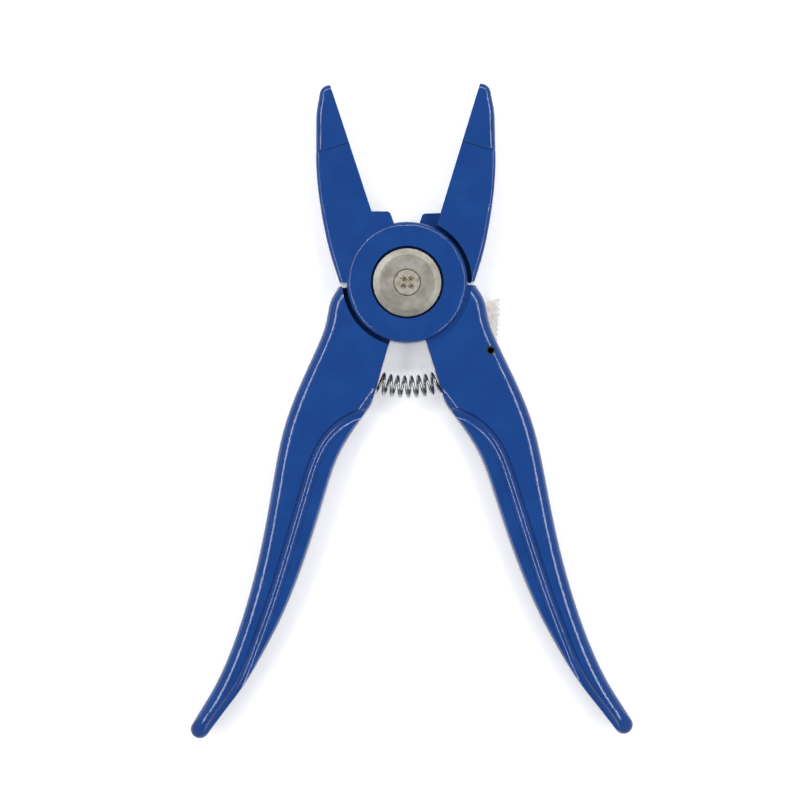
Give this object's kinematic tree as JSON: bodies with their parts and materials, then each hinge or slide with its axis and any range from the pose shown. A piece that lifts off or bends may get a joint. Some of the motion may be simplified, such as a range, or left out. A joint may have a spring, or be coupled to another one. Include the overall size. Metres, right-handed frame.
{
  "type": "ear tag applicator",
  "caption": "Hand pliers for livestock ear tags, with lap-jointed cast levers, tag channels in the jaws, an opening spring and a thumb latch that holds them shut.",
  "frame": {"origin": "on the joint's pivot axis, at the flat back of the tool that it lies on", "axes": "+Z along the pivot axis to the face with the screw, +Y to the jaw tips, +X to the side with the thumb latch"},
  "size_m": [0.1286, 0.1895, 0.017],
  "materials": {
    "blue_paint": "gloss",
    "turned_steel": "satin",
    "screw_steel": "satin",
    "spring_steel": "polished",
    "latch_steel": "satin",
    "pin_steel": "satin"
  },
  "bodies": {
    "front_lever": {"front_lever": "blue_paint", "pivot_barrel": "turned_steel", "pivot_cap": "turned_steel", "pivot_screw": "screw_steel", "pivot_washer": "spring_steel", "return_spring": "spring_steel", "latch_pin": "pin_steel", "latch_spring": "spring_steel"},
    "rear_lever": {"rear_lever": "blue_paint"},
    "thumb_latch": {"thumb_latch": "latch_steel"}
  },
  "joints": [
    {"name": "jaw_pivot", "type": "hinge", "parent": "front_lever", "child": "rear_lever", "pos_m": [0, 0, 0.0085], "axis": [0, 0, 1], "range_deg": [0, 33.6], "stiffness_Nm_per_rad": 3, "springref_deg": -5.73, "deforming": ["return_spring"]},
    {"name": "latch_pivot", "type": "hinge", "parent": "front_lever", "child": "thumb_latch", "pos_m": [0.02395, -0.02, 0.0065], "axis": [0, 0, 1], "range_deg": [0, 10], "stiffness_Nm_per_rad": 0.05, "springref_deg": -5.73, "deforming": ["latch_spring"]}
  ]
}
